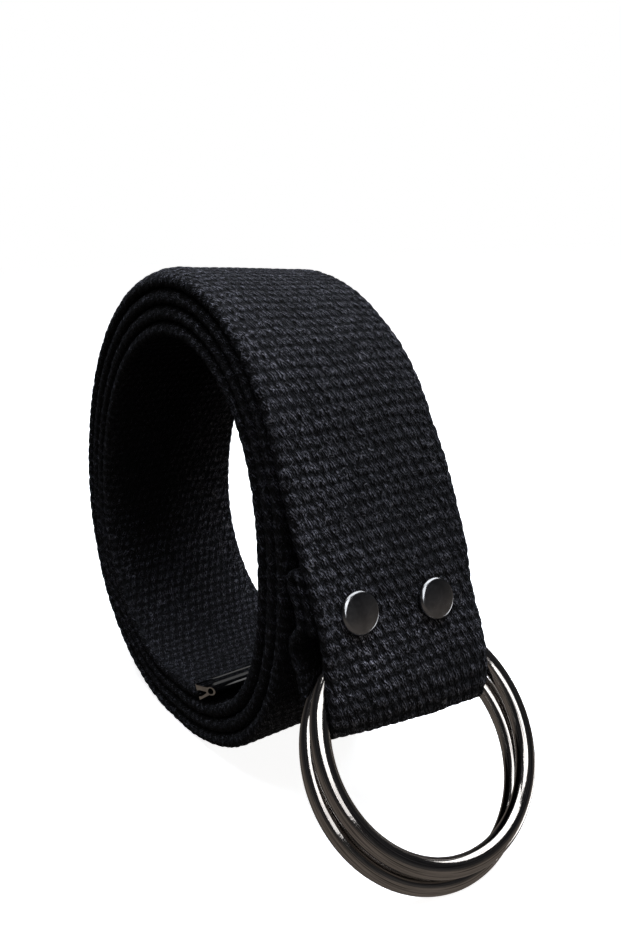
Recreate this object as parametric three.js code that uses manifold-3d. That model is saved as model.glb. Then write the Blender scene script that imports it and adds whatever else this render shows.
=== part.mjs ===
// Canvas belt rolled into a coil that stands on its rim, with two O-rings held in its outer end.
// Millimetres, +Z up. The strap's width runs along Y, so its whole path lies in the XZ plane.
import * as THREE from 'three';
import { mergeVertices } from 'three/addons/utils/BufferGeometryUtils.js';
import Module from 'manifold-3d';

const wasm = await Module();
wasm.setup();

// Driving dimensions
const webbing = { width: 38, thickness: 3.1, selvedge: 0.7 };
const coil = { x: -15.2, z: 52.6, radius: 55.34, pitch: 3.48, from: 30, to: 1363, step: 6 };
const tail = { liftFrom: 1335, lift: 0.6, angle: 25 };
const ring = { radius: 22.55, wire: 1.9, tilt: 37, x: 50.5, apart: 4.1, higher: 2.2, backAside: -1.1 };
const rivetCap = { x: 45.84, z: 49.3, lean: 16.6, radius: 4.1, height: 1.5 };
const rivetBack = { radius: 2.3, thick: 0.5, post: 1.3 };
const tip = {
  jawsApart: 2.2, jaw: 0.78, grip: 2.5, throat: 5.2,
  beadAt: 7.76, beadLong: 2.5, beadHigh: 1.0, holeLong: 1.5, holeHigh: 0.64,
};
const gap = 0.25;

// The coil's outline seen from the side: each row adds a wave to its round radius.
const outlineWaves = [
  { shape: 'oval', waves: 2, size: 3.22, at: 58.6 },
  { shape: 'egg', waves: 3, size: 1.0, at: 76.4 },
  { shape: 'square', waves: 4, size: 0.64, at: 45 },
];

// The outer end, from its turned-in cut edge to where it joins the coil: centre of the cloth.
const outerEnd = [
  { part: 'cut edge', x: 41.4, z: 46.3, thick: 2.8 },
  { part: 'tuck at the rivets', x: 40.49, z: 49.3, thick: 2.8 },
  { part: 'tuck', x: 39.8, z: 52.0, thick: 2.8 },
  { part: 'turned-in top', x: 38.8, z: 54.4, thick: 2.7 },
  { part: 'turned-in top', x: 38.55, z: 55.9, thick: 2.3 },
  { part: 'turned-in top', x: 37.2, z: 56.8, thick: 2.0 },
  { part: 'turned-in top', x: 35.85, z: 55.9, thick: 2.3 },
  { part: 'turned-in top', x: 35.6, z: 54.4, thick: 2.7 },
  { part: 'return ply', x: 36.1, z: 52.4, thick: 2.8 },
  { part: 'return ply at the rivets', x: 37.25, z: 49.3, thick: 2.8 },
  { part: 'return ply', x: 37.9, z: 46.3, thick: 2.8 },
  { part: 'beside the front ring', x: 35.4, z: 42.8, thick: 2.8 },
  { part: 'return ply', x: 33.9, z: 40.0, thick: 2.7 },
  { part: 'beside the back ring', x: 33.5, z: 38.0, thick: 2.6 },
  { part: 'return ply', x: 34.1, z: 35.8, thick: 2.7 },
  { part: 'return ply', x: 36.9, z: 31.9, thick: 2.9 },
  { part: 'fold', x: 39.9, z: 29.1, thick: 3.0 },
  { part: 'fold', x: 42.3, z: 27.6, thick: 3.1 },
  { part: 'fold', x: 45.0, z: 27.1, thick: 3.1 },
  { part: 'fold', x: 46.9, z: 28.0, thick: 3.1 },
  { part: 'fold', x: 47.9, z: 30.2, thick: 3.1 },
  { part: 'front ply', x: 48.0, z: 33.8, thick: 3.1 },
  { part: 'front ply', x: 46.7, z: 39.6, thick: 3.1 },
  { part: 'front ply at the rivets', x: 44.55, z: 47.6, thick: 3.1 },
  { part: 'front ply', x: 42.2, z: 55.5, thick: 3.1 },
  { part: 'front ply', x: 39.0, z: 63.4, thick: 3.1 },
  { part: 'front ply', x: 35.8, z: 71.2, thick: 3.1 },
];

// The rivets as fitted by hand: the far one lower. Back is where the washer meets the return ply.
const rivets = [
  { name: 'rivet_near', y: -10.6, z: 50.1, back: 35.55, backLean: 17 },
  { name: 'rivet_far', y: 7.5, z: 48.1, back: 35.75, backLean: 9 },
];

// The inner end, pinched by the tip's jaws: distance past the lips.
const pinched = [
  { past: -1.6, thick: 2.5 },
  { past: -0.4, thick: 1.75 },
  { past: 0.3, thick: 1.7 },
  { past: 1.2, thick: 1.65 },
  { past: 2.2, thick: 1.6 },
];

const rad = THREE.MathUtils.degToRad;

// Radius of the coil's outer face: round radius, its waves, one pitch less for each turn,
// and pressed flat where the bottom would go below the floor.
function outerRadius(turn) {
  let round = coil.radius;
  for (const row of outlineWaves) {
    round += row.size * Math.cos(rad(row.waves * (turn - row.at)));
  }
  const angle = turn % 360;
  const outermost = round - coil.pitch * angle / 360;
  const down = -Math.sin(rad(angle));
  const pressed = down > 0 ? Math.max(0, outermost - coil.z / down) : 0;
  return round - pressed - coil.pitch * turn / 360;
}

// Centre of the cloth on the coil: the tail rises off the turn below it by the square of its length.
function coilPoint(turn) {
  const risen = Math.max(0, turn - tail.liftFrom) / (coil.to - tail.liftFrom);
  const radius = outerRadius(turn) - webbing.thickness / 2 - tail.lift * risen ** 2;
  return {
    x: coil.x + radius * Math.cos(rad(turn)),
    z: coil.z + radius * Math.sin(rad(turn)),
    thick: webbing.thickness,
  };
}

const lips = coilPoint(coil.to);

// A smooth line through the rows of the outer end, carrying each row's thickness as its middle value.
function outerEndPoints() {
  const rows = [...outerEnd, coilPoint(coil.from)];
  const curve = new THREE.CatmullRomCurve3(rows.map((row) => new THREE.Vector3(row.x, row.thick, row.z)));
  const points = curve.getPoints(3 * (rows.length - 1)).map((p) => ({ x: p.x, z: p.z, thick: p.y }));
  return points.slice(0, -1);
}

function coilPoints() {
  const points = [];
  for (let turn = coil.from; turn < coil.to - coil.step / 2; turn += coil.step) {
    points.push(coilPoint(turn));
  }
  return points;
}

function pinchedPoints() {
  const slope = rad(tail.angle);
  return pinched.map((row) => ({
    x: lips.x + row.past * Math.cos(slope),
    z: lips.z + row.past * Math.sin(slope),
    thick: row.thick,
  }));
}

// Both faces of the cloth: half the thickness to each side of the path, never below the floor.
function faces(path) {
  const left = [];
  const right = [];
  path.forEach((point, i) => {
    const before = path[Math.max(0, i - 1)];
    const after = path[Math.min(path.length - 1, i + 1)];
    const along = new THREE.Vector2(after.x - before.x, after.z - before.z).normalize();
    const half = point.thick / 2;
    left.push(new THREE.Vector2(point.x - along.y * half, Math.max(0, point.z + along.x * half)));
    right.push(new THREE.Vector2(point.x + along.y * half, Math.max(0, point.z - along.x * half)));
  });
  return [...left, ...right.reverse()];
}

// A side profile drawn in XZ, carried across the belt's width along Y.
function acrossWidth(shape, width, edge) {
  const geometry = new THREE.ExtrudeGeometry(shape, {
    depth: width - 2 * edge,
    bevelEnabled: edge > 0,
    bevelThickness: edge,
    bevelSize: edge,
    bevelOffset: -edge,
    bevelSegments: 1,
    curveSegments: 10,
  });
  geometry.rotateX(Math.PI / 2);
  geometry.translate(0, width / 2 - edge, 0);
  return geometry;
}

function toSolid(geometry) {
  const bare = geometry.clone();
  bare.deleteAttribute('normal');
  bare.deleteAttribute('uv');
  const welded = mergeVertices(bare, 1e-4);
  return new wasm.Manifold(new wasm.Mesh({
    numProp: 3,
    vertProperties: new Float32Array(welded.attributes.position.array),
    triVerts: new Uint32Array(welded.index.array),
  }));
}

function toGeometry(solid) {
  const mesh = solid.getMesh();
  const geometry = new THREE.BufferGeometry();
  geometry.setAttribute('position', new THREE.BufferAttribute(new Float32Array(mesh.vertProperties), 3));
  geometry.setIndex(new THREE.BufferAttribute(new Uint32Array(mesh.triVerts), 1));
  geometry.computeVertexNormals();
  return geometry;
}

// The two rings lie parallel in the fold, the back one a little nearer. Its lowest point is on the floor.
const wireSides = 12;
const ringTurn = Math.PI / 2 - rad(ring.tilt);
const ringAxis = new THREE.Vector3(Math.cos(rad(ring.tilt)), 0, Math.sin(rad(ring.tilt)));
const ringUp = new THREE.Vector3(-ringAxis.z, 0, ringAxis.x);

function ringGeometry(wire) {
  return new THREE.TorusGeometry(ring.radius, wire, wireSides, 48);
}

function lowestOfRing() {
  const turned = ringGeometry(ring.wire).rotateY(ringTurn);
  turned.computeBoundingBox();
  return turned.boundingBox.min.z;
}

const backCentre = new THREE.Vector3(ring.x, ring.backAside, -lowestOfRing());
const frontCentre = new THREE.Vector3(ring.x, 0, backCentre.z)
  .addScaledVector(ringAxis, ring.apart)
  .addScaledVector(ringUp, ring.higher);

// The room that a ring needs in the cloth: its own shape with a thicker wire.
function ringRoom(centre) {
  const geometry = ringGeometry(ring.wire + gap).rotateY(ringTurn);
  geometry.translate(centre.x, centre.y, centre.z);
  return toSolid(geometry);
}

function rodAlongX(radius, from, to, y, z) {
  const geometry = new THREE.CylinderGeometry(radius, radius, to - from, 20);
  geometry.rotateZ(Math.PI / 2);
  geometry.translate((from + to) / 2, y, z);
  return toSolid(geometry);
}

// The strap: its profile across the width, less the rivets' holes and the room for the rings' wires.
function strapGeometry() {
  const path = [...outerEndPoints(), ...coilPoints(), ...pinchedPoints()];
  const profile = new THREE.Shape(faces(path));
  let solid = toSolid(acrossWidth(profile, webbing.width, webbing.selvedge));
  for (const row of rivets) {
    const hole = rodAlongX(rivetBack.post + gap, row.back - 1.5, rivetCap.x + 1, row.y, row.z);
    solid = solid.subtract(hole);
  }
  return toGeometry(solid.subtract(ringRoom(backCentre)).subtract(ringRoom(frontCentre)));
}

// Half outline of a domed cap, spun round its axis: flat below, a thin rim, then the dome.
function capGeometry(radius, height) {
  const outline = [[0, 0], [radius - 0.2, 0], [radius, 0.25], [radius, 0.55]];
  for (let i = 1; i <= 6; i += 1) {
    const lean = i / 6 * Math.PI / 2;
    outline.push([radius * Math.cos(lean), 0.55 + (height - 0.55) * Math.sin(lean)]);
  }
  outline[outline.length - 1][0] = 0;
  return new THREE.LatheGeometry(outline.map(([r, h]) => new THREE.Vector2(r, h)), 28);
}

// Turns a cap from its own axis to face forward (or backward), leaning by an angle.
function capSolid(geometry, x, z, angle, forward) {
  geometry.rotateZ(forward ? -Math.PI / 2 : Math.PI / 2);
  geometry.rotateY(-rad(angle));
  geometry.translate(x, 0, z);
  return toSolid(geometry);
}

// A domed cap on the front ply, a washer on the return ply and the post between them.
function rivetGeometry(row) {
  const face = rivetCap.x + (rivetCap.z - row.z) * Math.tan(rad(rivetCap.lean));
  const behind = row.back - gap - rivetBack.thick / 2;
  const cap = capGeometry(rivetCap.radius, rivetCap.height);
  const washer = new THREE.CylinderGeometry(rivetBack.radius, rivetBack.radius, rivetBack.thick, 24);
  const front = capSolid(cap, face + gap, row.z, rivetCap.lean, true);
  const back = capSolid(washer, behind, row.z, row.backLean, false);
  return toGeometry(front.add(rodAlongX(rivetBack.post, behind, face + 0.6, 0, row.z)).add(back));
}

// The tip's folded plate from the side: two jaws that close towards a hollow oval bead at the nose.
function tipShape() {
  const inside = tip.jawsApart / 2;
  const shape = new THREE.Shape();
  shape.moveTo(0, inside);
  shape.lineTo(0, inside + tip.jaw);
  shape.absellipse(tip.beadAt, 0, tip.beadLong, tip.beadHigh, rad(118), rad(-118), true, 0);
  shape.lineTo(0, -inside - tip.jaw);
  shape.lineTo(0, -inside);
  shape.lineTo(tip.grip, -inside);
  shape.lineTo(tip.throat, -0.15);
  shape.lineTo(tip.throat, 0.15);
  shape.lineTo(tip.grip, inside);
  shape.closePath();
  const bore = new THREE.Path();
  bore.absellipse(tip.beadAt, 0, tip.holeLong, tip.holeHigh, 0, 2 * Math.PI, false, 0);
  shape.holes.push(bore);
  return shape;
}

const black = { color: 0x1d1e22, roughness: 0.95, metalness: 0 };
const gunmetal = { color: 0x6a6763, roughness: 0.22, metalness: 1 };
const darkMetal = { color: 0x3b3a3b, roughness: 0.35, metalness: 1 };

function makeMesh(name, geometry, look) {
  const mesh = new THREE.Mesh(geometry, new THREE.MeshStandardMaterial(look));
  mesh.name = name;
  return mesh;
}

const belt = new THREE.Group();
belt.name = 'canvas_belt';

belt.add(makeMesh('webbing_strap', strapGeometry(), black));

for (const [name, centre] of [['ring_front', frontCentre], ['ring_back', backCentre]]) {
  const mesh = makeMesh(name, ringGeometry(ring.wire), gunmetal);
  mesh.rotation.y = ringTurn;
  mesh.position.copy(centre);
  belt.add(mesh);
}

for (const row of rivets) {
  const mesh = makeMesh(row.name, rivetGeometry(row), darkMetal);
  mesh.position.y = row.y;
  belt.add(mesh);
}

const tipMesh = makeMesh('end_tip', acrossWidth(tipShape(), webbing.width, 0), darkMetal);
tipMesh.rotation.y = -rad(tail.angle);
tipMesh.position.set(lips.x, 0, lips.z);
belt.add(tipMesh);

export default belt;
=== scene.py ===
import math
import bmesh
import bpy
import numpy as np
from mathutils import Matrix


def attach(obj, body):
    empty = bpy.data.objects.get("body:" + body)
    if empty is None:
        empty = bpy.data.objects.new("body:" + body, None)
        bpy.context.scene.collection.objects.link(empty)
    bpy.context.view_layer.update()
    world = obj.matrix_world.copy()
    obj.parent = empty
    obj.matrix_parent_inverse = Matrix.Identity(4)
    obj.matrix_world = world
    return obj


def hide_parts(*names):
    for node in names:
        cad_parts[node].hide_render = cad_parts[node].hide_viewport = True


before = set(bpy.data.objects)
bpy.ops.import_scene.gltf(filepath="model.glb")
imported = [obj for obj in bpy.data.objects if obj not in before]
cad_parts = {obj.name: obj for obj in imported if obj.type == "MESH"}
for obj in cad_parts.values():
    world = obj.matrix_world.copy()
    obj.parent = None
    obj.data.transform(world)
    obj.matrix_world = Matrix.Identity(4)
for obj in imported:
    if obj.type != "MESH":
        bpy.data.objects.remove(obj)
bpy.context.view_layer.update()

# A black canvas belt, rolled up and standing on its rim, with two rings held in its riveted outer end.
# Lengths are in millimetres until a mesh is written, and the strap's width runs along Y.
mm = 0.001


def setPlace(obj, right, up, back, place):
    # adds the object to the scene: its three directions are the columns of its turn, its place in metres
    matrix = Matrix(np.stack([right, up, back], axis=1).tolist()).to_4x4()
    matrix.translation = place
    obj.matrix_world = matrix
    bpy.context.scene.collection.objects.link(obj)


# Camera: the eye that the rings, the coil's rim and the strap's edges agree on.
camera = {
    "place": (161.34, -97.29, 114.91),
    "right": (0.5643, 0.8249, -0.0353),
    "down": (0.1868, -0.1692, -0.9678),
    "ahead": (-0.8042, 0.5395, -0.2495),
    "lens": 33.43,
    "sensor": 36.0,
    "clipStart": 0.01,       # metres
}


def makeCamera():
    # a camera looks along its own minus Z with Y up, so up is minus down and back is minus ahead
    data = bpy.data.cameras.new("camera")
    data.sensor_fit = "VERTICAL"
    data.sensor_height = camera["sensor"]
    data.lens = camera["lens"]
    data.clip_start = camera["clipStart"]
    obj = bpy.data.objects.new("camera", data)
    right, down, ahead = (np.array(camera[k]) for k in ("right", "down", "ahead"))
    setPlace(obj, right, -down, -ahead, [v * mm for v in camera["place"]])
    bpy.context.scene.camera = obj


# Materials

def toLinear(hexColour):
    # sRGB hex to linear light: each channel is c / 12.92 when small, else ((c + 0.055) / 1.055) ** 2.4
    channels = [int(hexColour[i:i + 2], 16) / 255 for i in (1, 3, 5)]
    return [c / 12.92 if c <= 0.04045 else ((c + 0.055) / 1.055) ** 2.4 for c in channels] + [1.0]


def addNode(tree, kind, settings=None, values=None, links=None, stops=()):
    # one node: its own settings, fixed values for its inputs, links from other nodes' outputs and, on a
    # colour ramp, its stops from left to right
    node = tree.nodes.new(kind)
    for key, value in (settings or {}).items():
        setattr(node, key, value)
    for key, value in (values or {}).items():
        node.inputs[key].default_value = value
    for key, source in (links or {}).items():
        tree.links.new(source, node.inputs[key])
    if stops:
        node.color_ramp.interpolation = "EASE"
        while len(node.color_ramp.elements) < len(stops):
            node.color_ramp.elements.new(0.5)
        for element, (at, colour) in zip(node.color_ramp.elements, stops):
            element.position = at
            element.color = colour
    return node


def newMaterial(name):
    # an empty material with one shader joined to its output
    material = bpy.data.materials.new(name)
    material.use_nodes = True
    tree = material.node_tree
    tree.nodes.clear()
    shader = addNode(tree, "ShaderNodeBsdfPrincipled")
    addNode(tree, "ShaderNodeOutputMaterial", links={"Surface": shader.outputs["BSDF"]})
    return material, tree, shader


# Each range is the part of a noise that is used, from and to, then the factor that it becomes
cottonLook = {
    "gap": "#070708",            # painted shade between the stitches
    "yarn": "#343438",           # on top of a stitch
    "gapBelow": 0.3,             # stitch heights where the painted shade ends and the yarn's colour is full
    "yarnAbove": 0.92,
    "fibreMm": (1.1, 0.26),      # a yarn's strands along and across, coarser than real ones so they show
    "fibreTurn": 0.46,           # radians that the strands lean with the stitches
    "fibreRange": (0.43, 0.65, 0.0, 3.7),
    "lintMm": 0.36,              # loose fibre ends that catch the light
    "lintRange": (0.36, 0.64, 0.05, 2.3),
    "cloudMm": 8.0,              # slow change in how much lint lies on the cloth
    "cloudRange": (0.3, 0.7, 0.72, 1.28),
    "hair": "#6C6C70",
    "hairMm": 2.6,               # spacing of the curved stray hairs
    "hairWaver": 0.8,
    "hairWidth": 0.012,          # of the noise, on either side of a half
    "patchMm": 1.7,              # size of the patches where hairs lie
    "patchRange": (0.6, 0.64, 0.0, 1.0),
    "selvedgeRange": (16.5, 18.5, 0.0, 0.12),    # millimetres from the middle, then more of the patches
    "roughness": 0.95,
    "gloss": 0.08,
    "sheen": 0.04,
    "sheenRough": 0.5,
    "sheenTint": "#D5DEEC",
    "bump": 0.8,
    "bumpMm": 0.22,
}


def makeCottonMaterial():
    # Heavy black cotton webbing, dyed and woven: matt, with fluffy yarns and painted shade in the gaps
    # between them.
    # Its colour is the stitch height's ramp times strands, lint, slow clouds and painted light and shade in
    # patches, plus the hairs.
    look = cottonLook
    multiply = {"operation": "MULTIPLY"}
    material, tree, shader = newMaterial("black_cotton_webbing_woven")
    uv = addNode(tree, "ShaderNodeUVMap", {"uv_map": "along"})
    height = addNode(tree, "ShaderNodeAttribute", {"attribute_name": "height"})
    paintedLight = addNode(tree, "ShaderNodeAttribute", {"attribute_name": "paintedLight"})

    def noiseFactor(size, detail, ends, source=uv.outputs["UV"]):
        # noise of one size, of which a range becomes a factor; the range's four ends are inputs 1 to 4
        noise = addNode(tree, "ShaderNodeTexNoise", values={"Scale": 1 / size, "Detail": detail},
                        links={"Vector": source})
        return addNode(tree, "ShaderNodeMapRange", values=dict(enumerate(ends, 1)),
                       links={0: noise.outputs["Fac"]}).outputs[0]

    # the fibres run with the stitch: long along the strap, narrow across, turned by the stitch's slant
    along, across = look["fibreMm"]
    turned = addNode(tree, "ShaderNodeMapping", values={"Rotation": (0, 0, look["fibreTurn"])},
                     links={"Vector": uv.outputs["UV"]})
    stretched = addNode(tree, "ShaderNodeMapping", values={"Scale": (1 / along, 1 / across, 1)},
                        links={"Vector": turned.outputs["Vector"]})
    fibre = noiseFactor(1.0, 1.0, look["fibreRange"], stretched.outputs["Vector"])
    lint = noiseFactor(look["lintMm"], 1.0, look["lintRange"])
    cloud = noiseFactor(look["cloudMm"], 4.0, look["cloudRange"])
    # painted shade: the ramp darkens the cloth's colour where the stitches are low, in the gaps between them
    base = addNode(tree, "ShaderNodeValToRGB", links={"Fac": height.outputs["Fac"]},
                   stops=[(look["gapBelow"], toLinear(look["gap"])),
                          (look["yarnAbove"], toLinear(look["yarn"]))])
    strands = addNode(tree, "ShaderNodeMath", multiply, links={0: fibre, 1: lint}).outputs[0]
    clouded = addNode(tree, "ShaderNodeMath", multiply, links={0: strands, 1: cloud}).outputs[0]
    # painted light and shade in patches, read from the cloth's attribute
    paintedLit = addNode(tree, "ShaderNodeMath", multiply, links={0: clouded, 1: paintedLight.outputs["Fac"]}).outputs[0]
    woven = addNode(tree, "ShaderNodeVectorMath", {"operation": "SCALE"},
                    links={0: base.outputs["Color"], "Scale": paintedLit})

    # stray hairs: thin lines where a slow noise passes through a half, kept in patches and on the selvedges
    curve = addNode(tree, "ShaderNodeTexNoise",
                    values={"Scale": 1 / look["hairMm"], "Detail": 1.0, "Distortion": look["hairWaver"]},
                    links={"Vector": uv.outputs["UV"]})
    fromHalf = addNode(tree, "ShaderNodeMath", {"operation": "SUBTRACT"}, values={1: 0.5},
                       links={0: curve.outputs["Fac"]})
    apart = addNode(tree, "ShaderNodeMath", {"operation": "ABSOLUTE"}, links={0: fromHalf.outputs[0]})
    line = addNode(tree, "ShaderNodeMapRange", values={1: 0.0, 2: look["hairWidth"], 3: 1.0, 4: 0.0},
                   links={0: apart.outputs[0]})
    places = addNode(tree, "ShaderNodeSeparateXYZ", links={0: uv.outputs["UV"]})
    fromMiddle = addNode(tree, "ShaderNodeMath", {"operation": "ABSOLUTE"}, links={0: places.outputs["Y"]})
    selvedge = addNode(tree, "ShaderNodeMapRange", values=dict(enumerate(look["selvedgeRange"], 1)),
                       links={0: fromMiddle.outputs[0]})
    patches = addNode(tree, "ShaderNodeTexNoise", values={"Scale": 1 / look["patchMm"], "Detail": 0.0},
                      links={"Vector": uv.outputs["UV"]})
    raised = addNode(tree, "ShaderNodeMath", {"operation": "ADD"},
                     links={0: patches.outputs["Fac"], 1: selvedge.outputs[0]})
    patch = addNode(tree, "ShaderNodeMapRange", values=dict(enumerate(look["patchRange"], 1)),
                    links={0: raised.outputs[0]})
    seen = addNode(tree, "ShaderNodeMath", multiply, links={0: line.outputs[0], 1: patch.outputs[0]})
    hair = addNode(tree, "ShaderNodeVectorMath", {"operation": "SCALE"},
                   values={0: toLinear(look["hair"])[:3]}, links={"Scale": seen.outputs[0]})
    colour = addNode(tree, "ShaderNodeVectorMath", {"operation": "ADD"},
                     links={0: woven.outputs[0], 1: hair.outputs[0]})
    tree.links.new(colour.outputs[0], shader.inputs["Base Color"])
    bump = addNode(tree, "ShaderNodeBump",
                   values={"Strength": look["bump"], "Distance": look["bumpMm"] * mm},
                   links={"Height": strands})
    tree.links.new(bump.outputs["Normal"], shader.inputs["Normal"])
    shader.inputs["Roughness"].default_value = look["roughness"]
    shader.inputs["Specular IOR Level"].default_value = look["gloss"]
    shader.inputs["Sheen Weight"].default_value = look["sheen"]
    shader.inputs["Sheen Roughness"].default_value = look["sheenRough"]
    shader.inputs["Sheen Tint"].default_value = toLinear(look["sheenTint"])
    return material


# Each metal: its colour, its roughness, how much rougher it is where rubbed, how bright its dark places
# are against the colour and, on drawn wire, how long and how wide the streaks are
metalLook = {
    "gunmetal_ring_polished": {"colour": "#C4C0BD", "rough": 0.07, "rubbed": 0.08, "dark": 0.22,
                               "streakMm": (20.0, 0.24)},
    "gunmetal_rivet_pressed": {"colour": "#929498", "rough": 0.15, "rubbed": 0.1, "dark": 0.7},
    "nickel_tip_cut": {"colour": "#ACA7A1", "rough": 0.12, "rubbed": 0.1, "dark": 0.7},
}

# What all metals share: the sizes of scratches and clouds, where in their noise the rubbed and the light
# places begin and end, and the depth of the scratches
metalGrain = {
    "scratchMm": 0.6,
    "cloudMm": 4.0,
    "rubbedFrom": 0.35,
    "rubbedTo": 0.7,
    "lightFrom": 0.32,
    "lightTo": 0.62,
    "bump": 0.06,
    "bumpMm": 0.2,
}


def makeMetalMaterial(name):
    # Polished dark nickel plate over steel: mirror-like, with a few fine rub marks that soften it. The rings
    # were drawn through a die as wire, so thin darker streaks run along them.
    look, grain = metalLook[name], metalGrain
    material, tree, shader = newMaterial(name)
    place = addNode(tree, "ShaderNodeTexCoord")
    scratches = addNode(tree, "ShaderNodeTexNoise",
                        values={"Scale": 1 / (grain["scratchMm"] * mm), "Detail": 3.0},
                        links={"Vector": place.outputs["Object"]})
    if "streakMm" in look:
        uv = addNode(tree, "ShaderNodeUVMap", {"uv_map": "wire"})
        along, around = look["streakMm"]
        drawn = addNode(tree, "ShaderNodeMapping", values={"Scale": (1 / along, 1 / around, 1)},
                        links={"Vector": uv.outputs["UV"]})
        clouds = addNode(tree, "ShaderNodeTexNoise",
                         values={"Scale": 1.0, "Detail": 3.0, "Roughness": 0.7},
                         links={"Vector": drawn.outputs["Vector"]})
        rubs = clouds
    else:
        clouds = addNode(tree, "ShaderNodeTexNoise",
                         values={"Scale": 1 / (grain["cloudMm"] * mm), "Detail": 2.0},
                         links={"Vector": place.outputs["Object"]})
        rubs = scratches
    least, most = look["rough"], look["rough"] + look["rubbed"]
    roughness = addNode(tree, "ShaderNodeValToRGB", links={"Fac": rubs.outputs["Fac"]},
                        stops=[(grain["rubbedFrom"], (least, least, least, 1)),
                               (grain["rubbedTo"], (most, most, most, 1))])
    tree.links.new(roughness.outputs["Color"], shader.inputs["Roughness"])
    light = toLinear(look["colour"])
    dark = [c * look["dark"] for c in light[:3]] + [1.0]
    colour = addNode(tree, "ShaderNodeValToRGB", links={"Fac": clouds.outputs["Fac"]},
                     stops=[(grain["lightFrom"], dark), (grain["lightTo"], light)])
    tree.links.new(colour.outputs["Color"], shader.inputs["Base Color"])
    bump = addNode(tree, "ShaderNodeBump",
                   values={"Strength": grain["bump"], "Distance": grain["bumpMm"] * mm},
                   links={"Height": scratches.outputs["Fac"]})
    tree.links.new(bump.outputs["Normal"], shader.inputs["Normal"])
    shader.inputs["Metallic"].default_value = 1.0
    return material


# painted dark reflection: the near-black coat given to every face of the tip but its cut ends
darkReflectionLook = {"colour": "#0C0C0D", "roughness": 0.04, "gloss": 0.25}


def makeDarkReflectionMaterial():
    # Near-black, smooth, weakly glossy coat: a painted dark reflection in place of the dark surroundings
    # that the tip's metal mirrors, with thin faint highlights along its bends.
    material, tree, shader = newMaterial("black_painted_dark_reflection")
    shader.inputs["Base Color"].default_value = toLinear(darkReflectionLook["colour"])
    shader.inputs["Roughness"].default_value = darkReflectionLook["roughness"]
    shader.inputs["Specular IOR Level"].default_value = darkReflectionLook["gloss"]
    return material


# Mesh tools

def makeMesh(name, points, faces, material, smooth=True):
    # points in millimetres and faces as lists of their numbers, as one object that sits at the origin
    mesh = bpy.data.meshes.new(name)
    mesh.from_pydata((points * mm).tolist(), [], faces)
    mesh.polygons.foreach_set("use_smooth", np.full(len(mesh.polygons), smooth))
    mesh.materials.append(material)
    mesh.update()
    obj = bpy.data.objects.new(name, mesh)
    bpy.context.scene.collection.objects.link(obj)
    return obj


def gridFaces(rows, columns, closeRows, closeColumns):
    # quads between neighbours of a rows x columns grid, wrapping round where it is closed
    i = np.arange(rows if closeRows else rows - 1)[:, None]
    j = np.arange(columns if closeColumns else columns - 1)[None, :]
    i2 = (i + 1) % rows
    j2 = (j + 1) % columns
    quads = np.stack([i * columns + j, i * columns + j2, i2 * columns + j2, i2 * columns + j], axis=-1)
    return quads.reshape(-1, 4)


def addUv(mesh, name, pairs):
    # one pair of coordinates per vertex, written to every face corner that uses the vertex
    layer = mesh.uv_layers.new(name=name)
    corners = np.empty(len(mesh.loops), dtype=np.int32)
    mesh.loops.foreach_get("vertex_index", corners)
    layer.data.foreach_set("uv", pairs.reshape(-1, 2)[corners].astype(np.float32).ravel())


# The strap's path

strap = {
    "width": 38.0,
    "thickness": 3.1,
    "corner": 1.3,             # the selvedge's rounding
    "wrap": 4.4,               # length of the pattern round a selvedge, a little over the rounding's own
    "edgeColumns": 7,          # round a selvedge
    "rowPitch": 2.45,
    "stitchPitch": 2.0,
    "stitchHalf": (1.1, 1.3),  # half of a stitch across and along
    "slant": 0.42,             # how far a stitch leans across for each millimetre along
    "relief": 0.42,
    "level": 0.66,             # stitch height that lies on the strap's nominal face
    "floorGap": 0.02,          # under the cloth's lowest point
}

# The coil turns from the top of the front ply to the lips of the tip. Its rows are a step apart and stop
# short of the lips, where the tip's own rows begin. Angles are in degrees.
coil = {"x": -15.2, "z": 52.6, "radius": 55.34, "pitch": 3.48, "from": 30.0, "to": 1363.0,
        "step": 0.5, "stopShort": 3.0}
outlineWaves = np.array([(2, 3.22, 58.6), (3, 1.0, 76.4), (4, 0.64, 45.0)])  # waves a turn, size, angle
# the last stretch lifts off the turn below it, and the tip goes on from there at its own angle
tail = {"liftFrom": 1335.0, "lift": 0.25, "angle": 25.0}

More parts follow.
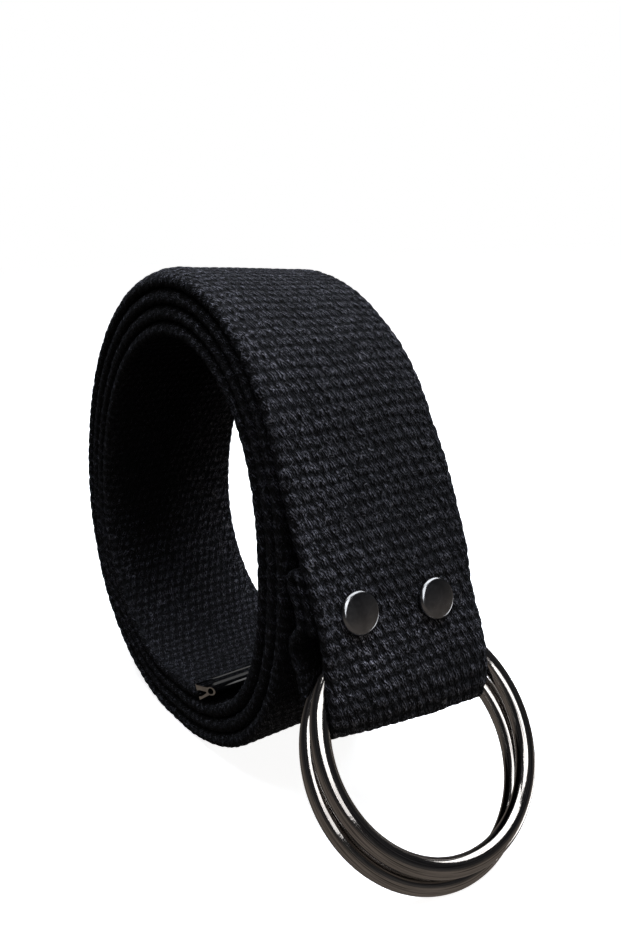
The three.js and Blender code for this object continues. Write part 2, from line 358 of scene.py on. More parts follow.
# x, z, thickness, then how far the near and the far selvedge stand from the middle, in x and in z
outerEnd = np.array([
    (41.40, 46.3, 2.8, 1.0, -1.2, 0, 0),       # cut edge, tucked in behind the front ply
    (40.49, 49.3, 2.8, 1.3, -0.8, 0, 0),
    (39.80, 52.0, 2.8, 1.0, -0.4, 0, 0),
    (38.80, 54.4, 2.7, 0.5, -0.1, 0, 0),       # turned-in top
    (38.55, 55.9, 2.3, 0.3, 0.0, 0, 0),
    (37.20, 56.8, 2.0, 0.2, 0.0, 0, 0),
    (35.85, 55.9, 2.3, 0.2, 0.0, 0, 0),
    (35.60, 54.4, 2.7, 0.3, 0.0, 0, 0),
    (36.10, 52.4, 2.8, 0.6, -0.2, 0, 0),       # return ply, down the back
    (37.25, 49.3, 2.8, 1.0, -0.7, 0, 0),
    (37.90, 46.3, 2.8, 0.8, -0.9, 0, 0),
    (35.40, 42.8, 2.8, 0.4, -0.4, 0, 0),       # round the tops of the rings
    (33.90, 40.0, 2.7, 1.9, 1.7, 0, 0),
    (33.50, 38.0, 2.6, 3.3, 3.2, 0, 0),
    (34.10, 35.8, 2.7, 3.8, 3.8, 0, 0),
    (36.90, 31.9, 2.9, 2.0, 2.1, 0, -0.4),
    (39.90, 29.1, 3.0, 0.0, 0.5, 0, -0.8),
    (42.30, 27.6, 3.1, -0.6, 0.0, 0, -1.0),    # fold that holds the rings
    (45.00, 27.1, 3.1, -0.7, 0.0, 0, -1.0),
    (46.90, 28.0, 3.1, -0.6, 0.0, 0, -1.0),
    (47.90, 30.2, 3.1, 0.0, 0.2, 0, -0.7),
    (48.00, 33.8, 3.4, 0.0, 0.2, 0, -0.3),     # front ply, up to the coil
    (46.70, 39.6, 3.4, 0.2, -0.1, 0, 0),
    (44.55, 47.6, 3.1, 1.4, -0.8, 0, 0),
    (42.20, 55.5, 3.1, 0.2, 0.1, 0, 0),
    (39.00, 63.4, 3.1, -0.3, 0.5, 0, 0),
    (35.80, 71.2, 3.1, -0.1, 0.6, 0, 0),
])
rivetRow = 23      # the row beside the rivets
rowSteps = 24      # close steps between two rows
lookAhead = 0.4    # the strap's direction is taken over this length both ways

# the cloth's end, squeezed between the jaws of the tip: how far past the lips, and how thick
pinched = np.array([(-1.6, 2.3), (-0.5, 1.1), (0.1, 0.9), (0.9, 0.85), (1.6, 0.8)])


def coilRadius(turn):
    # round radius plus its waves, less one pitch a turn, pressed flat where it would go below the floor
    turn = np.asarray(turn, dtype=float)
    waves, size, at = outlineWaves.T
    rounded = coil["radius"] + (size * np.cos(np.radians(waves * (turn[..., None] - at)))).sum(axis=-1)
    angle = turn % 360
    down = np.maximum(-np.sin(np.radians(angle)), 1e-6)
    pressed = np.maximum(0, rounded - coil["pitch"] * angle / 360 - coil["z"] / down)
    return rounded - pressed - coil["pitch"] * turn / 360


def coilPath(turn):
    # centre of the cloth on the coil; the tail comes in towards the middle by the square of its length
    turn = np.asarray(turn, dtype=float)
    risen = np.maximum(0, turn - tail["liftFrom"]) / (coil["to"] - tail["liftFrom"])
    radius = coilRadius(turn) - strap["thickness"] / 2 - tail["lift"] * risen ** 2
    return np.stack([coil["x"] + radius * np.cos(np.radians(turn)),
                     coil["z"] + radius * np.sin(np.radians(turn))], axis=-1)


def pastLips(ahead, above):
    # a place seen from the coil's end: so far along the tail's slope, and so far square to it
    x, z = coilPath(coil["to"])
    slope = math.radians(tail["angle"])
    return np.stack([x + ahead * math.cos(slope) - above * math.sin(slope),
                     z + ahead * math.sin(slope) + above * math.cos(slope)], axis=-1)


def smoothThrough(rows, steps):
    # centripetal Catmull-Rom: each span is a blend of blends of its four rows, timed by root distance
    ends = np.vstack([2 * rows[0] - rows[1], rows, 2 * rows[-1] - rows[-2]])
    gaps = np.sqrt(np.linalg.norm(np.diff(ends[:, :2], axis=0), axis=1))
    t = np.concatenate([[0], np.cumsum(gaps)])
    spans = []
    for k in range(len(rows) - 1):
        p, q = ends[k:k + 4], t[k:k + 4]
        u = np.linspace(q[1], q[2], steps, endpoint=False)[:, None]
        a = [((q[i + 1] - u) * p[i] + (u - q[i]) * p[i + 1]) / (q[i + 1] - q[i]) for i in range(3)]
        b = [((q[i + 2] - u) * a[i] + (u - q[i]) * a[i + 1]) / (q[i + 2] - q[i]) for i in range(2)]
        spans.append(((q[2] - u) * b[0] + (u - q[1]) * b[1]) / (q[2] - q[1]))
    return np.vstack(spans)


# How the turns stand out from the coil's plain outline, by angle: middle, tilt to the near side, curl
turnLean = np.array([
    (-20, 0.0, 0.0, 0.0),
    (22, 0.0, 0.0, 0.0),
    (40, -0.4, 0.5, 0.0),
    (55, -0.8, 0.9, 0.0),
    (72, 0.0, 1.0, -0.5),
    (88, 1.1, 1.2, -1.8),
    (108, 0.9, 0.8, -1.3),
    (135, 0.1, 0.3, -0.4),
    (165, 0.0, 0.0, 0.0),
    (340, 0.0, 0.0, 0.0),
])
curlWidth = 6.0    # how much of the near selvedge curls


def leanOf(x, z, y):
    # middle, plus tilt times how near the point is, plus curl by the square of the way into the selvedge
    first = turnLean[0, 0]
    angle = (np.degrees(np.arctan2(z - coil["z"], x - coil["x"])) - first) % 360 + first
    middle, tilt, curl = (np.interp(angle, turnLean[:, 0], turnLean[:, k]) for k in (1, 2, 3))
    half = strap["width"] / 2
    return middle - tilt * y / half + curl * (np.maximum(0, -y - (half - curlWidth)) / curlWidth) ** 2


def strapPath():
    # the whole centre line at close steps: length along, then x, z, thickness, near and far shifts
    thick = strap["thickness"]
    joined = np.vstack([outerEnd, np.concatenate([coilPath(coil["from"]), [thick, 0, 0, 0, 0]])])
    end = smoothThrough(joined, rowSteps)
    turns = np.arange(coil["from"], coil["to"] - coil["stopShort"], coil["step"])
    rolled = np.column_stack([coilPath(turns), np.full(len(turns), thick), np.zeros((len(turns), 4))])
    held = np.column_stack([pastLips(pinched[:, 0], 0.0), pinched[:, 1], np.zeros((len(pinched), 4))])
    every = np.vstack([end, rolled, held])
    along = np.concatenate([[0], np.cumsum(np.linalg.norm(np.diff(every[:, :2], axis=0), axis=1))])
    return along, every


pathAlong, pathRows = strapPath()
strapLength = pathAlong[-1]
endLength = float(pathAlong[len(outerEnd) * rowSteps])
rivetsAlong = pathAlong[rivetRow * rowSteps]


def pathAt(s):
    # centre, outward normal, thickness and shifts at each length: straight between close steps
    at = np.stack([np.interp(s, pathAlong, pathRows[:, k]) for k in range(7)], axis=-1)
    ahead = np.stack([np.interp(s + lookAhead, pathAlong, pathRows[:, k]) for k in range(2)], axis=-1)
    behind = np.stack([np.interp(s - lookAhead, pathAlong, pathRows[:, k]) for k in range(2)], axis=-1)
    tangent = ahead - behind
    tangent /= np.linalg.norm(tangent, axis=-1, keepdims=True)
    normal = np.stack([tangent[:, 1], -tangent[:, 0]], axis=-1)
    return at[:, :2], normal, at[:, 2], at[:, 3:]


# The weave's unevenness, as shares of its pitches and of a stitch's height
weave = {
    "waver": 0.3,              # of rows and columns
    "rowWaverMm": 9.0,
    "columnWaverMm": 5.0,
    "alongShift": 0.16,        # of each stitch on its own
    "acrossShift": 0.2,
    "lowest": 0.74,            # the lowest stitch against the highest
    "selvedgeLess": 0.45,      # how much shallower the relief is on the selvedges
    "swell": 0.14,             # the cloth's slow rise and fall, in millimetres
    "swellMm": 12.0,
}
seeds = {"rows": 1, "columns": 2, "height": 3, "across": 4, "swell": 5, "along": 6}
scatterBy = (127.1, 311.7, 74.7, 43758.5453)    # for the two numbers and the seed, then the sine's size


def scatter(a, b, seed):
    # a repeatable fraction for each pair of whole numbers: the fraction left of a large sine
    first, second, third, large = scatterBy
    value = np.sin(a * first + b * second + seed * third) * large
    return value - np.floor(value)


def slowNoise(s, v, scale, seed):
    # smooth noise: scattered corner values of a grid, blended with eased weights
    a, b = s / scale, v / scale
    i, j = np.floor(a), np.floor(b)
    f, g = a - i, b - j
    f, g = f * f * (3 - 2 * f), g * g * (3 - 2 * g)
    top = scatter(i, j, seed) * (1 - f) + scatter(i + 1, j, seed) * f
    low = scatter(i, j + 1, seed) * (1 - f) + scatter(i + 1, j + 1, seed) * f
    return top * (1 - g) + low * g


def stitchHeight(s, v):
    # leaning oval stitches in rows, each row half a stitch aside of the last: the highest of the nine
    # nearest, where a stitch's height is the root of one less the squares of its two distances
    rowPitch, stitchPitch = strap["rowPitch"], strap["stitchPitch"]
    rowAt = s / rowPitch + weave["waver"] * (slowNoise(s, v, weave["rowWaverMm"], seeds["rows"]) - 0.5)
    columnWaver = slowNoise(s, v, weave["columnWaverMm"], seeds["columns"]) - 0.5
    columnAt = v / stitchPitch + weave["waver"] * columnWaver
    wide, long = strap["stitchHalf"]
    highest = np.zeros(np.broadcast(s, v).shape)
    for rowStep in (-1, 0, 1):
        row = np.floor(rowAt) + rowStep
        aside = 0.5 * (row % 2)
        for columnStep in (-1, 0, 1):
            column = np.floor(columnAt - aside) + columnStep
            alongShift = weave["alongShift"] * (scatter(row, column, seeds["along"]) - 0.5)
            acrossShift = weave["acrossShift"] * (scatter(row, column, seeds["across"]) - 0.5)
            t = (rowAt - row - 0.5 - alongShift) * rowPitch
            u = (columnAt - column - 0.5 - aside - acrossShift) * stitchPitch
            u = u + strap["slant"] * t
            body = np.sqrt(np.maximum(0, 1 - (u / wide) ** 2 - (t / long) ** 2))
            own = weave["lowest"] + (1 - weave["lowest"]) * scatter(row, column, seeds["height"])
            highest = np.maximum(highest, body * own)
    return highest


def sectionColumns(front, back):
    # a rounded strip: each column's place across and out (y, n), its outward direction (ny, nn) and its
    # place on the cloth laid flat (v)
    half, thick, corner = strap["width"] / 2, strap["thickness"] / 2, strap["corner"]
    flat = half - corner
    rise = thick - corner
    out = np.linspace(-flat, flat, front)
    turn = np.linspace(np.pi / 2, -np.pi / 2, strap["edgeColumns"] + 2)[1:-1]
    home = np.linspace(flat, -flat, back)
    y = np.concatenate([out, flat + corner * np.cos(turn), home, -flat - corner * np.cos(turn)])
    n = np.concatenate([np.full(front, thick), np.sign(turn) * rise + corner * np.sin(turn),
                        np.full(back, -thick), -np.sign(turn) * rise - corner * np.sin(turn)])
    ny = np.concatenate([np.zeros(front), np.cos(turn), np.zeros(back), -np.cos(turn)])
    nn = np.concatenate([np.ones(front), np.sin(turn), -np.ones(back), -np.sin(turn)])
    arc = corner * (np.pi / 2 - turn)
    v = np.concatenate([out, flat + arc, home + strap["wrap"], -flat - strap["wrap"] + arc])
    return y, n, ny, nn, v


# The rings: round wire, leaning back from upright by the tilt, the front one on the back one
ring = {
    "radius": 22.55,     # to the middle of the wire
    "wire": 1.9,         # the wire's own radius
    "tilt": 37.0,
    "x": 50.5,
    "backAside": -1.1,
    "apart": 4.1,        # the front ring from the back one, along the rings' axis and up their slope
    "higher": 2.2,
    "room": 0.06,        # between a wire and the cloth that it presses
    "aroundRing": 180,
    "aroundWire": 36,
}
ringTilt = math.radians(ring["tilt"])
ringAxis = np.array([math.cos(ringTilt), 0, math.sin(ringTilt)])
ringUp = np.array([-math.sin(ringTilt), 0, math.cos(ringTilt)])
ringHeight = ring["radius"] * math.cos(ringTilt) + ring["wire"]
backCentre = np.array([ring["x"], ring["backAside"], ringHeight])
frontCentre = np.array([ring["x"], 0, ringHeight]) + ring["apart"] * ringAxis + ring["higher"] * ringUp


def pressedByWire(points, centre):
    # a point nearer to the wire's middle than the wire's radius is pushed straight out to it
    relative = points - centre
    height = relative @ ringAxis
    flat = relative - height[..., None] * ringAxis
    nearest = flat / np.maximum(np.linalg.norm(flat, axis=-1, keepdims=True), 1e-6) * ring["radius"]
    away = relative - nearest
    distance = np.linalg.norm(away, axis=-1, keepdims=True)
    reach = ring["wire"] + ring["room"]
    pushed = centre + nearest + away / np.maximum(distance, 1e-6) * reach
    return np.where(distance < reach, pushed, points)


# How the fold hangs: flat and low over the far part, rising evenly to the near edge
foldHang = {"drop": 1.85, "rise": 0.125, "flatTo": 6.0, "rows": [14, 16, 19, 22]}


def hangOf(s, y):
    # how far the fold's points go down: full between its middle rows, eased to nothing at its outer ones
    share = np.interp(s, pathAlong[np.array(foldHang["rows"]) * rowSteps], [0, 1, 1, 0])
    share = share * share * (3 - 2 * share)
    return share[:, None] * (foldHang["drop"] - foldHang["rise"] * np.maximum(0, foldHang["flatTo"] - y))


def strapPoints(s, section):
    # section columns set on the path: middle of the cloth, plus the edges' shift, plus section and weave,
    # with the fold's hang taken off and the coil's lean put on
    y, n, ny, nn, v = section
    centre, normal, thick, shifts = pathAt(s)
    toEdge = ring["radius"] - np.sqrt(ring["radius"] ** 2 - y ** 2)
    toEdge = toEdge / (ring["radius"] - math.sqrt(ring["radius"] ** 2 - (strap["width"] / 2) ** 2))
    near, far = toEdge * (y < 0), toEdge * (y > 0)
    height = stitchHeight(s[:, None] + 0 * v, v + 0 * s[:, None])
    relief = strap["relief"] * (1 - weave["selvedgeLess"] * np.abs(ny)) * (height - strap["level"])
    swell = slowNoise(s[:, None], v[None, :], weave["swellMm"], seeds["swell"]) - 0.5
    sink = relief + weave["swell"] * swell
    out = n * (thick / strap["thickness"])[:, None] + nn * sink
    points = np.empty((len(s), len(y), 3))
    points[..., 0] = centre[:, 0, None] + near * shifts[:, 0, None] + far * shifts[:, 1, None]
    points[..., 0] += normal[:, 0, None] * out
    points[..., 1] = y + ny * sink
    points[..., 2] = centre[:, 1, None] + near * shifts[:, 2, None] + far * shifts[:, 3, None]
    points[..., 2] += normal[:, 1, None] * out - hangOf(s, y)
    outward = points[..., ::2] - np.array([coil["x"], coil["z"]])
    outward /= np.linalg.norm(outward, axis=-1, keepdims=True)
    lean = leanOf(points[..., 0], points[..., 2], points[..., 1])
    points[..., ::2] += outward * lean[..., None]
    points[..., 2] = np.maximum(points[..., 2], strap["floorGap"])
    return points, height


# Painted light and shade: patches painted lighter where the front ply's near side would face the light more,
# and darker by the far rivet. Columns: place along from the rivets, place across, reach of each, and how
# much lighter or darker
paintedLightSpots = [
    (-6.5, -9.0, 5.5, 6.5, 1.3),
    (-6.0, 5.0, 5.0, 6.0, 0.6),
    (62.0, -15.0, 60.0, 4.0, 0.35),
    (22.0, 12.0, 26.0, 13.0, -0.55),
    (26.0, -3.0, 28.0, 8.0, -0.2),
]


def paintedLightOf(s, v):
    # one, plus each spot's strength fading by a bell curve of the distance
    share = np.ones(np.broadcast(s, v).shape)
    for alongAt, acrossAt, alongReach, acrossReach, strength in paintedLightSpots:
        bell = ((s - rivetsAlong - alongAt) / alongReach) ** 2 + ((v - acrossAt) / acrossReach) ** 2
        share += strength * np.exp(-bell)
    return share


# The strap's pieces, end to end: name, start and stop along it, columns on its outer and inner face, step.
# Those that the eye sees from near are the finest.
outerTurn = (endLength, endLength + 150, endLength + 345)    # where its two pieces start and stop
innerTurn = 955.0
stretches = [
    ("canvas_end", 0.0, outerTurn[0], 127, 60, 0.34),
    ("canvas_outer_turn_first", outerTurn[0], outerTurn[1], 127, 30, 0.3),
    ("canvas_outer_turn_second", outerTurn[1], outerTurn[2], 80, 30, 0.42),
    ("canvas_middle_turns", outerTurn[2], innerTurn, 40, 40, 0.62),
    ("canvas_inner_turn", innerTurn, strapLength, 47, 110, 0.46),
]


def makeStrapPiece(name, start, stop, front, back, step, material):
    # one stretch of the strap: sections at even steps, quads between them, and one flat face at each end
    count = max(2, int(round((stop - start) / step)) + 1)
    s = np.linspace(start, stop, count)
    section = sectionColumns(front, back)
    points, height = strapPoints(s, section)
    points = pressedByWire(points, backCentre)
    points = pressedByWire(points, frontCentre)
    columns = points.shape[1]
    faces = gridFaces(count, columns, False, True).tolist()
    faces.append(list(range(columns - 1, -1, -1)))
    faces.append([(count - 1) * columns + j for j in range(columns)])
    obj = makeMesh(name, points.reshape(-1, 3), faces, material)
    mesh = obj.data
    across = section[-1][None, :]
    addUv(mesh, "along", np.stack(np.broadcast_arrays(s[:, None], across), axis=-1))
    # the second attribute is the painted light and shade in patches
    for label, values in (("height", height), ("paintedLight", paintedLightOf(s[:, None], across))):
        attribute = mesh.attributes.new(label, "FLOAT", "POINT")
        attribute.data.foreach_set("value", values.astype(np.float32).ravel())
    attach(obj, "root")
    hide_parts("webbing_strap")
    print(name, "length", round(stop - start, 1), "mm, faces", len(mesh.polygons))


# Metal pieces

def makeRing(name, node, centre, material):
    # a torus: the wire's circle carried round the ring's circle
    a = np.linspace(0, 2 * np.pi, ring["aroundRing"], endpoint=False)[:, None]
    b = np.linspace(0, 2 * np.pi, ring["aroundWire"], endpoint=False)[None, :]
    side = np.array([0, 1, 0])
    outward = np.cos(a)[..., None] * ringUp + np.sin(a)[..., None] * side
    points = centre + outward * (ring["radius"] + ring["wire"] * np.cos(b))[..., None]
    points = points + ringAxis * (ring["wire"] * np.sin(b))[..., None]
    faces = gridFaces(ring["aroundRing"], ring["aroundWire"], True, True)
    obj = makeMesh(name, points.reshape(-1, 3), faces.tolist(), material)
    # up and down again, so that neither coordinate jumps where the ring or the wire closes
    there = ring["radius"] * np.abs(a - np.pi)
    addUv(obj.data, "wire", np.stack(np.broadcast_arrays(there, ring["wire"] * np.abs(b - np.pi)), axis=-1))
    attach(obj, "root")
    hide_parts(node)


rivetCap = {
    "x": 45.84,               # of the front ply's face at height z, and the face's lean from upright
    "z": 49.3,
    "lean": 16.6,
    "radius": 4.1,
    "height": 1.5,
    "edge": 0.85,             # radius of the turned edge, and how high its middle lies
    "edgeAt": 0.42,
    "edgeTurn": (-30, 74),    # degrees that the turned edge covers
    "dome": (0.94, 0.02),     # from the turned edge to the middle, as shares of the edge's last radius
    "middle": 1.0,            # radius of the flat middle underneath
    "off": 0.05,              # how far its foot stands off the cloth's face
    "steps": 16,              # rows on the turned edge, and again on the dome
    "sides": 96,
}
rivetBack = {
    "radius": 2.3,
    "thick": 0.5,
    "corner": 0.15,
    "cornerHigh": 0.12,
    "bore": 0.1,
    "off": 0.25,              # how far it stands off the back, clear of the stitches
    "sides": 64,
}
rivetPost = {"radius": 1.3, "past": 0.4, "into": 0.2, "sides": 32}    # past the back, into the cap

# name, CAD node, y, z, x of the back, lean of the washer, and the front ply's shift there
rivets = [
    ("rivet_cap_near", "rivet_near", -10.6, 50.1, 35.55, 17.0, 0.26),
    ("rivet_cap_far", "rivet_far", 7.5, 48.1, 35.75, 9.0, -0.1),
]


def spunPoints(outline, centre, axis, sides):
    # an outline of radius and height, turned once round the axis through the centre
    axis = np.array(axis) / np.linalg.norm(axis)
    side = np.array([0.0, 1.0, 0.0])
    third = np.cross(axis, side)
    a = np.linspace(0, 2 * np.pi, sides, endpoint=False)
    outward = np.cos(a)[:, None] * side + np.sin(a)[:, None] * third
    r, h = np.array(outline).T
    return centre + h[:, None, None] * axis + r[:, None, None] * outward[None, :, :]


def spunFaces(rows, sides, offset):
    # quads between the outline's rows and one flat fan face at each end
    quads = (gridFaces(rows, sides, False, True) + offset).tolist()
    first = [offset + j for j in range(sides - 1, -1, -1)]
    last = [offset + (rows - 1) * sides + j for j in range(sides)]
    return quads + [first, last]


def capOutline():
    # the cap from underneath: a turned edge of one radius, then a low dome that flattens to the middle
    radius, height, edge, steps = (rivetCap[k] for k in ("radius", "height", "edge", "steps"))
    turn = np.radians(np.linspace(*rivetCap["edgeTurn"], steps))
    rim = [(radius - edge + edge * math.cos(a), rivetCap["edgeAt"] + edge * math.sin(a)) for a in turn]
    r0, h0 = rim[-1]
    dome = [(r0 * k, h0 + (height - h0) * (1 - k ** 2)) for k in np.linspace(*rivetCap["dome"], steps)]
    return [(rivetCap["middle"], 0.0)] + rim + dome


def washerOutline():
    # a flat disc, its outer corners cut
    radius, thick, corner, bore = (rivetBack[k] for k in ("radius", "thick", "corner", "bore"))
    return [(bore, 0), (radius - corner, 0), (radius, rivetBack["cornerHigh"]), (radius, thick - corner),
            (radius - corner, thick), (bore, thick)]


def makeRivet(name, node, y, z, back, washerLean, shift, material):
    # cap, washer and post, each an outline turned round its own axis: the cap square to the front ply, the
    # washer square to the cloth behind, the post straight from one to the other
    lean, tilt = math.radians(rivetCap["lean"]), math.radians(washerLean)
    face = rivetCap["x"] + (rivetCap["z"] - z) * math.tan(lean) + shift
    post = rivetPost["radius"]
    length = face - back + rivetPost["past"] + rivetPost["into"]
    parts = [
        spunPoints(capOutline(), np.array([face + rivetCap["off"], y, z]),
                   (math.cos(lean), 0, math.sin(lean)), rivetCap["sides"]),
        spunPoints(washerOutline(), np.array([back - rivetBack["off"], y, z]),
                   (-math.cos(tilt), 0, -math.sin(tilt)), rivetBack["sides"]),
        spunPoints([(post, 0), (post, length)], np.array([back - rivetPost["past"], y, z]),
                   (1, 0, 0), rivetPost["sides"]),
    ]
    points, faces, offset = [], [], 0
    for part in parts:
        rows, sides = part.shape[:2]
        points.append(part.reshape(-1, 3))
        faces += spunFaces(rows, sides, offset)
        offset += rows * sides
    obj = makeMesh(name, np.vstack(points), faces, material)
    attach(obj, "root")
    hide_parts(node)


# The tip from the side. A lip's points are so far in from the mouth, and so far up from the face of the
# jaw that is named.
tip = {
    "jawsApart": 1.4,
    "upperJaw": 1.5,
    "lowerJaw": 0.85,
    "upperLipInside": [(0.12, 0.0), (0.0, 0.15)],
    "upperLipOutside": [(0.0, -0.2), (0.1, 0.05), (0.3, 0.12), (0.5, 0.05), (0.6, -0.1)],
    "lowerLipOutside": [(0.5, 0.0), (0.3, 0.12)],
    "lowerLipInside": [(0.25, -0.15), (0.37, 0.0)],
    "throatFrom": 1.8,        # where the space between the jaws begins to narrow
    "throat": [(4.9, -0.02), (5.2, 0.06), (5.2, 0.2), (4.9, 0.28)],    # up from midway between the jaws
    "beadAt": 7.76,
    "beadRise": 0.35,
    "bead": (2.5, 1.0),       # half length and half height of the bead and of its hole
    "hole": (1.5, 0.64),
    "beadTurn": 118,          # degrees of the bead that are free of the jaws, up and down from its nose
    "beadSteps": 48,
    "holeSteps": 40,
    "bevel": 0.07,            # at the edges of the cut ends
    "sharp": 35,              # degrees between two faces, past which their edge is sharp
    "cutFacing": 0.6,         # a face that looks this much to the side is a cut end
}


def tipOutline():
    # the folded plate from the side: a thick upper jaw with a turned-up lip, a thin lower one, and an oval
    # bead at the nose
    inside = tip["jawsApart"] / 2
    top, bottom = inside + tip["upperJaw"], -inside - tip["lowerJaw"]
    upperLip = [(x, inside + up) for x, up in tip["upperLipInside"]]
    upperLip += [(x, top + up) for x, up in tip["upperLipOutside"]]
    long, high = tip["bead"]
    nose = [(tip["beadAt"] + long * math.cos(a), tip["beadRise"] + high * math.sin(a))
            for a in np.radians(np.linspace(tip["beadTurn"], -tip["beadTurn"], tip["beadSteps"]))]
    lowerLip = [(x, bottom + up) for x, up in tip["lowerLipOutside"]]
    lowerLip += [(x, -inside + up) for x, up in tip["lowerLipInside"]]
    throat = [(tip["throatFrom"], -inside)] + tip["throat"] + [(tip["throatFrom"], inside)]
    return np.array(upperLip + nose + lowerLip + throat)


def makeTip(darkReflection, cutEdge):
    # the outline carried across the strap's width, drawn in by the bevel at both ends, with the bead's bore
    # as a second, inward wall. The cut ends, which look to the side, are bare metal; the rest is near-black,
    # a painted dark reflection in place of the dark surroundings that the metal would mirror.
    half, bevel = strap["width"] / 2, tip["bevel"]
    levels = [(-half, bevel), (-half + bevel, 0), (half - bevel, 0), (half, bevel)]
    outline = tipOutline()
    edge = np.roll(outline, -1, axis=0) - np.roll(outline, 1, axis=0)
    inward = np.stack([edge[:, 1], -edge[:, 0]], axis=1) / np.linalg.norm(edge, axis=1, keepdims=True)
    a = np.linspace(0, 2 * np.pi, tip["holeSteps"], endpoint=False)
    spoke = np.stack([np.cos(a), np.sin(a)], axis=1)
    bore = np.array([tip["beadAt"], tip["beadRise"]]) + np.array(tip["hole"]) * spoke
    rows = []
    for y, shrink in levels:
        for loop, direction in ((outline, inward * shrink), (bore, spoke * shrink)):
            x, z = pastLips(*(loop + direction).T).T
            rows.append(np.column_stack([x, np.full(len(x), y), z]))
    outer, inner = len(outline), len(bore)
    stride = outer + inner
    walls = []
    for first, count in ((0, outer), (outer, inner)):
        # a point's number in its own wall becomes its level times the stride, plus its place on the level
        quads = gridFaces(len(levels), count, False, True)
        walls.append(quads // count * stride + first + quads % count)
    obj = makeMesh("end_tip_plate", np.vstack(rows), np.vstack(walls).tolist(), darkReflection)
    closeTipEnds(obj, stride, outer, len(levels))
    mesh = obj.data
    mesh.materials.append(cutEdge)
    normals = np.empty(3 * len(mesh.polygons))
    mesh.polygons.foreach_get("normal", normals)
    cut = np.abs(normals.reshape(-1, 3)[:, 1]) > tip["cutFacing"]
    mesh.polygons.foreach_set("material_index", cut.astype(np.int32))
    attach(obj, "root")
    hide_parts("end_tip")


def closeTipEnds(obj, stride, outer, levels):
    # fills the ring-shaped end faces between the outline and the bore, then turns all faces outwards
    work = bmesh.new()
    work.from_mesh(obj.data)
    work.verts.ensure_lookup_table()
    for level in (0, levels - 1):
        base = level * stride
        edges = []
        for loop in (list(range(base, base + outer)), list(range(base + outer, base + stride))):
            for a, b in zip(loop, loop[1:] + loop[:1]):
                edges.append(work.edges.get((work.verts[a], work.verts[b])))
        bmesh.ops.triangle_fill(work, use_beauty=True, use_dissolve=False, edges=edges)
    bmesh.ops.recalc_face_normals(work, faces=work.faces)
    work.to_mesh(obj.data)
    work.free()
    obj.data.set_sharp_from_angle(angle=math.radians(tip["sharp"]))


# Stage and light

stage = {
    "floor": "#F6F6F6",
    "floorRough": 0.9,
    "glow": (0.9, 1.0),        # the paper's own brightness near the belt and far from it
    "glowFrom": (0.12, 0.5),   # metres from the belt's middle
    "half": 6000.0,            # of the paper's side
    "below": 0.05,             # the paper lies this much under the belt
}


def makeStage():
    # white paper that glows a little more with distance, so that it has no visible horizon
    half = stage["half"]
    square = np.array([(-half, -half, 0), (half, -half, 0), (half, half, 0), (-half, half, 0)])
    material, tree, shader = newMaterial("paper_sweep_matt")
    shader.inputs["Base Color"].default_value = toLinear(stage["floor"])
    shader.inputs["Roughness"].default_value = stage["floorRough"]
    shader.inputs["Specular IOR Level"].default_value = 0.0
    shader.inputs["Emission Color"].default_value = (1, 1, 1, 1)
    place = addNode(tree, "ShaderNodeTexCoord")
    away = addNode(tree, "ShaderNodeVectorMath", {"operation": "LENGTH"}, links={0: place.outputs["Object"]})
    near, far = stage["glowFrom"]
    low, high = stage["glow"]
    glow = addNode(tree, "ShaderNodeMapRange", values={1: near, 2: far, 3: low, 4: high},
                   links={0: away.outputs["Value"]})
    tree.links.new(glow.outputs[0], shader.inputs["Emission Strength"])
    floor = makeMesh("floor", square - (0, 0, stage["below"]), [[0, 1, 2, 3]], material, smooth=False)
    floor.visible_diffuse = False
    floor.visible_glossy = False
    world = bpy.data.worlds.new("studio")
    bpy.context.scene.world = world
    world.use_nodes = True
    world.node_tree.nodes["Background"].inputs["Color"].default_value = (1, 1, 1, 1)
    world.cycles_visibility.diffuse = False
    world.cycles_visibility.glossy = False
    bpy.context.scene.view_settings.view_transform = "Standard"


# What the metals mirror. A look's height is -1 straight down and 1 straight up, and the rise is the part
# of it that the colours cover: bench, then walls, then ceiling, each with its place on the rise.
roomLook = {
    "half": 5400.0,
    "rise": (-0.3, 0.5),
    "colours": [(0.2, "#6E6761"), (0.45, "#413F3E"), (0.8, "#2A2A2C")],
}


def makeRoom():
    # a dim room that only the metals mirror: brown bench below the horizon, dark walls above it
    half = roomLook["half"]
    corners = np.array([(x, y, z) for z in (-half, half) for y in (-half, half) for x in (-half, half)])
    sides = [[0, 1, 3, 2], [4, 6, 7, 5], [0, 4, 5, 1], [2, 3, 7, 6], [0, 2, 6, 4], [1, 5, 7, 3]]
    material, tree, shader = newMaterial("room_walls_matt")
    place = addNode(tree, "ShaderNodeTexCoord")
    direction = addNode(tree, "ShaderNodeVectorMath", {"operation": "NORMALIZE"},
                        links={0: place.outputs["Object"]})
    split = addNode(tree, "ShaderNodeSeparateXYZ", links={0: direction.outputs[0]})
    low, high = roomLook["rise"]
    rising = addNode(tree, "ShaderNodeMapRange", values={1: low, 2: high, 3: 0.0, 4: 1.0},
                     links={0: split.outputs["Z"]})
    colour = addNode(tree, "ShaderNodeValToRGB", links={"Fac": rising.outputs[0]},
                     stops=[(at, toLinear(shade)) for at, shade in roomLook["colours"]])
    tree.links.new(colour.outputs["Color"], shader.inputs["Emission Color"])
    shader.inputs["Emission Strength"].default_value = 1.0
    shader.inputs["Base Color"].default_value = (0, 0, 0, 1)
    room = makeMesh("room", corners, sides, material, smooth=False)
    room.visible_camera = False
    room.visible_diffuse = False
    room.visible_shadow = False


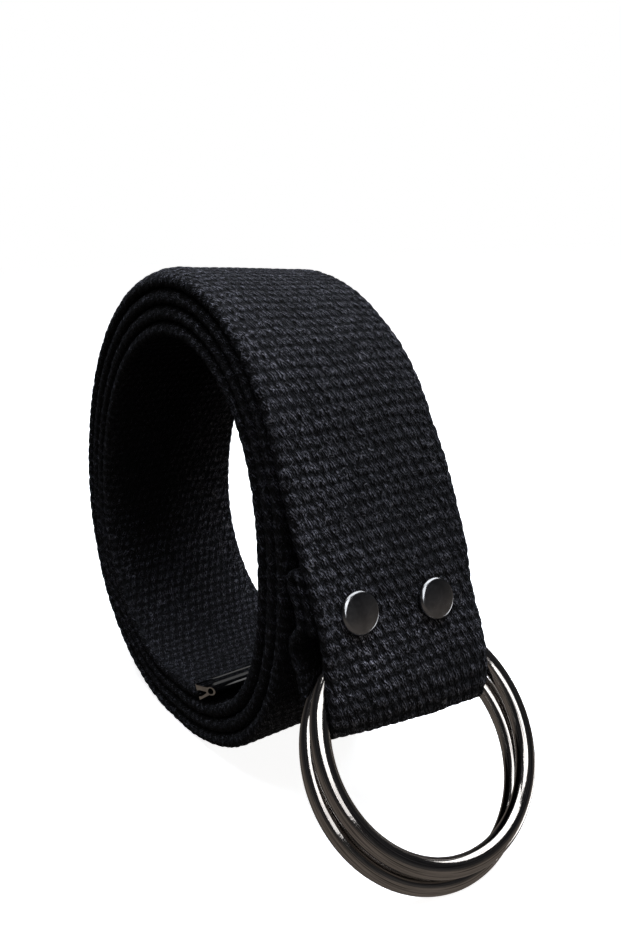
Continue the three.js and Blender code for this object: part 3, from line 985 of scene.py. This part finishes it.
# Lights: name, place, aim and size in metres, roll in degrees, power in watts, colour, then whether it
# lights the cloth and whether it shows in the metal
lights = [
    ("overhead", (0.15, 0.1, 1.1), (0.0, 0.0, 0.05), (0.9, 0.9), 0, 21.0, "#EAF0FF", True, False),
    ("front_right", (0.95, 0.1, 0.22), (0.0, 0.0, 0.05), (0.35, 0.6), 0, 2.7, "#FFF7EE", True, False),
    ("left", (-0.45, -0.75, 0.6), (0.0, 0.0, 0.05), (0.3, 0.5), 0, 0.15, "#FFFFFF", True, False),
    ("far_ceiling", (-0.24, 0.34, 1.14), (0.04, 0.0, 0.03), (1.7, 1.3), 0, 24.0, "#FFFFFF", False, True),
    ("window", (0.72, -0.36, 0.9), (0.04, 0.0, 0.03), (0.78, 1.5), 30, 13.0, "#FFFFFF", False, True),
    ("low_right", (0.28, 0.87, -0.4), (0.04, 0.0, 0.03), (0.5, 0.35), 0, 1.6, "#FFFFFF", False, True),
]


def makeLights():
    # a lamp looks from its place to its aim; right is level, up is square to both, and roll turns the two
    for name, place, aim, size, roll, power, colour, onCloth, inMetal in lights:
        data = bpy.data.lights.new(name, "AREA")
        data.shape = "RECTANGLE"
        data.size, data.size_y = size
        data.energy = power
        data.color = toLinear(colour)[:3]
        obj = bpy.data.objects.new(name, data)
        ahead = np.array(aim) - np.array(place)
        ahead /= np.linalg.norm(ahead)
        right = np.cross(ahead, (0, 0, 1))
        right /= np.linalg.norm(right)
        up = np.cross(right, ahead)
        cosRoll, sinRoll = math.cos(math.radians(roll)), math.sin(math.radians(roll))
        setPlace(obj, right * cosRoll + up * sinRoll, up * cosRoll - right * sinRoll, -ahead, place)
        obj.visible_camera = False
        obj.visible_diffuse = onCloth
        obj.visible_glossy = inMetal


makeCamera()
makeStage()
makeRoom()
makeLights()
print("stage ready")

cotton = makeCottonMaterial()
ringMetal = makeMetalMaterial("gunmetal_ring_polished")
rivetMetal = makeMetalMaterial("gunmetal_rivet_pressed")
tipMetal = makeMetalMaterial("nickel_tip_cut")
tipDarkReflection = makeDarkReflectionMaterial()

for stretch in stretches:
    makeStrapPiece(*stretch, cotton)
print("strap ready")

makeRing("ring_wire_front", "ring_front", frontCentre, ringMetal)
makeRing("ring_wire_back", "ring_back", backCentre, ringMetal)
for rivet in rivets:
    makeRivet(*rivet, rivetMetal)
makeTip(tipDarkReflection, tipMetal)
print("metal ready")
